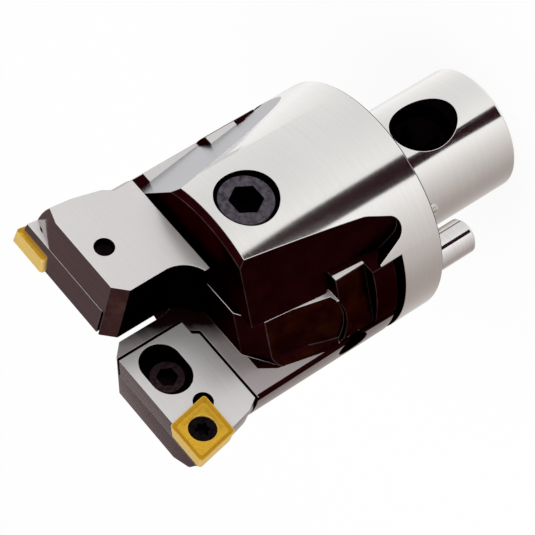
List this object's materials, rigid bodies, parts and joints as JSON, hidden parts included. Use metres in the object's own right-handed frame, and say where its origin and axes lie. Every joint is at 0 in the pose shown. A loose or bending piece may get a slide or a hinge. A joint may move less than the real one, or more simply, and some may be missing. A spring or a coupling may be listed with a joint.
{
  "type": "twin cutter rough boring head",
  "caption": "Cylindrical rough boring head with a locating pilot, two radially adjustable slides, and a coated insert on each slide's cartridge.",
  "frame": {"origin": "centre of the flange face, on the axis of the pilot", "axes": "+Z towards the cutting edges, +X along the travel of slide A, +Y out of the head of the clamping screw"},
  "size_m": [0.0806, 0.068, 0.1257],
  "materials": {
    "ground_body": "ground, with black-oxide milled surfaces",
    "polished_pin": "polished",
    "hardened_steel": "ground",
    "black_steel": "black oxide",
    "seal_rubber": "matte",
    "black_screw": "black oxide",
    "ground_slide": "ground, with black-oxide fronts",
    "ground_cartridge": "ground",
    "coated_carbide": "titanium nitride coating",
    "insert_screw_steel": "black oxide"
  },
  "bodies": {
    "head": {"head_body": "ground_body", "drive_pin": "polished_pin", "stop_block": "hardened_steel"},
    "floating_pin": {"float_pin": "black_steel", "float_ring": "seal_rubber"},
    "clamp": {"clamp_screw": "black_screw"},
    "tool_slide_a": {"slide_a": "ground_slide"},
    "slide_adjuster_a": {"adjusting_screw_a": "black_screw"},
    "tool_cartridge_a": {"cartridge_a": "ground_cartridge", "insert_a": "coated_carbide"},
    "cartridge_fixing_a": {"cartridge_screw_a": "black_screw"},
    "cartridge_setter_a": {"setting_screw_a": "black_screw"},
    "insert_fixing_a": {"insert_screw_a": "insert_screw_steel"},
    "tool_slide_b": {"slide_b": "ground_slide"},
    "slide_adjuster_b": {"adjusting_screw_b": "black_screw"},
    "tool_cartridge_b": {"cartridge_b": "ground_cartridge", "insert_b": "coated_carbide"},
    "cartridge_fixing_b": {"cartridge_screw_b": "black_screw"},
    "cartridge_setter_b": {"setting_screw_b": "black_screw"},
    "insert_fixing_b": {"insert_screw_b": "insert_screw_steel"}
  },
  "joints": [
    {"name": "clamp_screw_turn", "type": "hinge", "parent": "head", "child": "clamp", "pos_m": [0, 0, 0.0432], "axis": [0, 1, 0], "range_deg": [0, 180]},
    {"name": "float_pin_slide", "type": "slide", "parent": "head", "child": "floating_pin", "axis": [0, 1, 0], "range_m": [-0.001, 0.001]},
    {"name": "slide_a_travel", "type": "slide", "parent": "head", "child": "tool_slide_a", "axis": [1, 0, 0], "range_m": [0, 0.01]},
    {"name": "adjusting_screw_a_turn", "type": "hinge", "parent": "head", "child": "slide_adjuster_a", "pos_m": [0, -0.0045, 0.0293], "axis": [-1, 0, 0], "range_deg": [0, 2880.5]},
    {"name": "cartridge_a_travel", "type": "slide", "parent": "tool_slide_a", "child": "tool_cartridge_a", "axis": [1, 0, 0], "range_m": [-0.0006, 0.002]},
    {"name": "setting_screw_a_travel", "type": "slide", "parent": "tool_slide_a", "child": "cartridge_setter_a", "axis": [1, 0, 0], "range_m": [-0.0006, 0.002]},
    {"name": "cartridge_screw_a_turn", "type": "hinge", "parent": "tool_slide_a", "child": "cartridge_fixing_a", "pos_m": [0.0146, 0, 0.0758], "axis": [0, 1, 0], "range_deg": [0, 180]},
    {"name": "insert_screw_a_turn", "type": "hinge", "parent": "tool_cartridge_a", "child": "insert_fixing_a", "pos_m": [0.03293, 0, 0.07885], "axis": [0, 1, 0], "range_deg": [0, 180]},
    {"name": "slide_b_travel", "type": "slide", "parent": "head", "child": "tool_slide_b", "axis": [-1, 0, 0], "range_m": [0, 0.01]},
    {"name": "adjusting_screw_b_turn", "type": "hinge", "parent": "head", "child": "slide_adjuster_b", "pos_m": [0, 0.0045, 0.0293], "axis": [1, 0, 0], "range_deg": [0, 2880.5]},
    {"name": "cartridge_b_travel", "type": "slide", "parent": "tool_slide_b", "child": "tool_cartridge_b", "axis": [-1, 0, 0], "range_m": [-0.0006, 0.002]},
    {"name": "setting_screw_b_travel", "type": "slide", "parent": "tool_slide_b", "child": "cartridge_setter_b", "axis": [-1, 0, 0], "range_m": [-0.0006, 0.002]},
    {"name": "cartridge_screw_b_turn", "type": "hinge", "parent": "tool_slide_b", "child": "cartridge_fixing_b", "pos_m": [-0.0146, 0, 0.0758], "axis": [0, -1, 0], "range_deg": [0, 180]},
    {"name": "insert_screw_b_turn", "type": "hinge", "parent": "tool_cartridge_b", "child": "insert_fixing_b", "pos_m": [-0.03293, 0, 0.07885], "axis": [0, -1, 0], "range_deg": [0, 180]}
  ],
  "couplings": [
    {"joint": "adjusting_screw_a_turn", "follows": "slide_a_travel", "rad_per_m": 5026.5},
    {"joint": "setting_screw_a_travel", "follows": "cartridge_a_travel", "ratio": 1},
    {"joint": "adjusting_screw_b_turn", "follows": "slide_b_travel", "rad_per_m": 5026.5},
    {"joint": "setting_screw_b_travel", "follows": "cartridge_b_travel", "ratio": 1}
  ]
}
